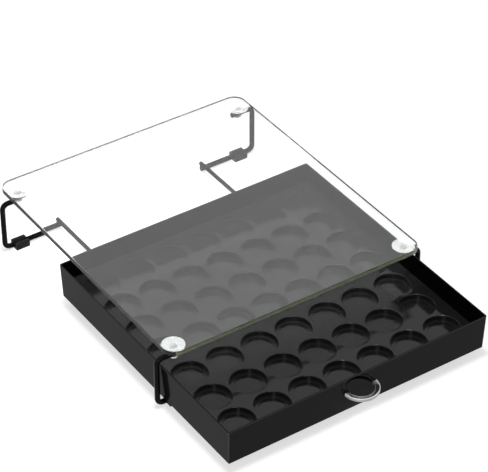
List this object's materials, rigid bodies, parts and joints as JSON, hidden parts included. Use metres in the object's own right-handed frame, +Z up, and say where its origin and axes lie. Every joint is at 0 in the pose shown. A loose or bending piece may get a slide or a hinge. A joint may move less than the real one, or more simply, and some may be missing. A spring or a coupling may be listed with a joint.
{
  "type": "coffee pod drawer",
  "caption": "Glass-topped wire stand with a sliding drawer beneath it that holds coffee pods in a grid of round wells.",
  "frame": {"origin": "on the surface that the feet stand on, at the middle of the outline's width and length with the drawer as far open as shown", "axes": "+Z up, +X to the right, the drawer opens towards -Y"},
  "size_m": [0.34, 0.4822, 0.0782],
  "materials": {
    "glass": "clear toughened glass with a faint green edge",
    "clear_vinyl": "clear soft vinyl",
    "black_wire": "glossy black coated steel wire",
    "rubber_foot": "matt black rubber",
    "drawer_plastic": "semi-gloss black moulded plastic",
    "insert_plastic": "glossy black moulded plastic",
    "clear_acrylic": "clear polished acrylic",
    "screw_steel": "bright zinc plate"
  },
  "bodies": {
    "stand": {"glass_top": "glass", "cup_front_left": "clear_vinyl", "cup_front_right": "clear_vinyl", "cup_rear_left": "clear_vinyl", "cup_rear_right": "clear_vinyl", "leg_front_left": "black_wire", "leg_front_right": "black_wire", "leg_rear_left": "black_wire", "leg_rear_right": "black_wire", "rail_left": "black_wire", "rail_right": "black_wire", "foot_front_left": "rubber_foot", "foot_front_right": "rubber_foot", "foot_rear_left": "rubber_foot", "foot_rear_right": "rubber_foot"},
    "drawer": {"drawer_tray": "drawer_plastic", "pod_insert": "insert_plastic", "handle": "clear_acrylic", "handle_screw_left": "screw_steel", "handle_screw_right": "screw_steel"}
  },
  "joints": [
    {"name": "drawer_slide", "type": "slide", "parent": "stand", "child": "drawer", "axis": [0, -1, 0], "range_m": [-0.1082, 0.1082]}
  ]
}
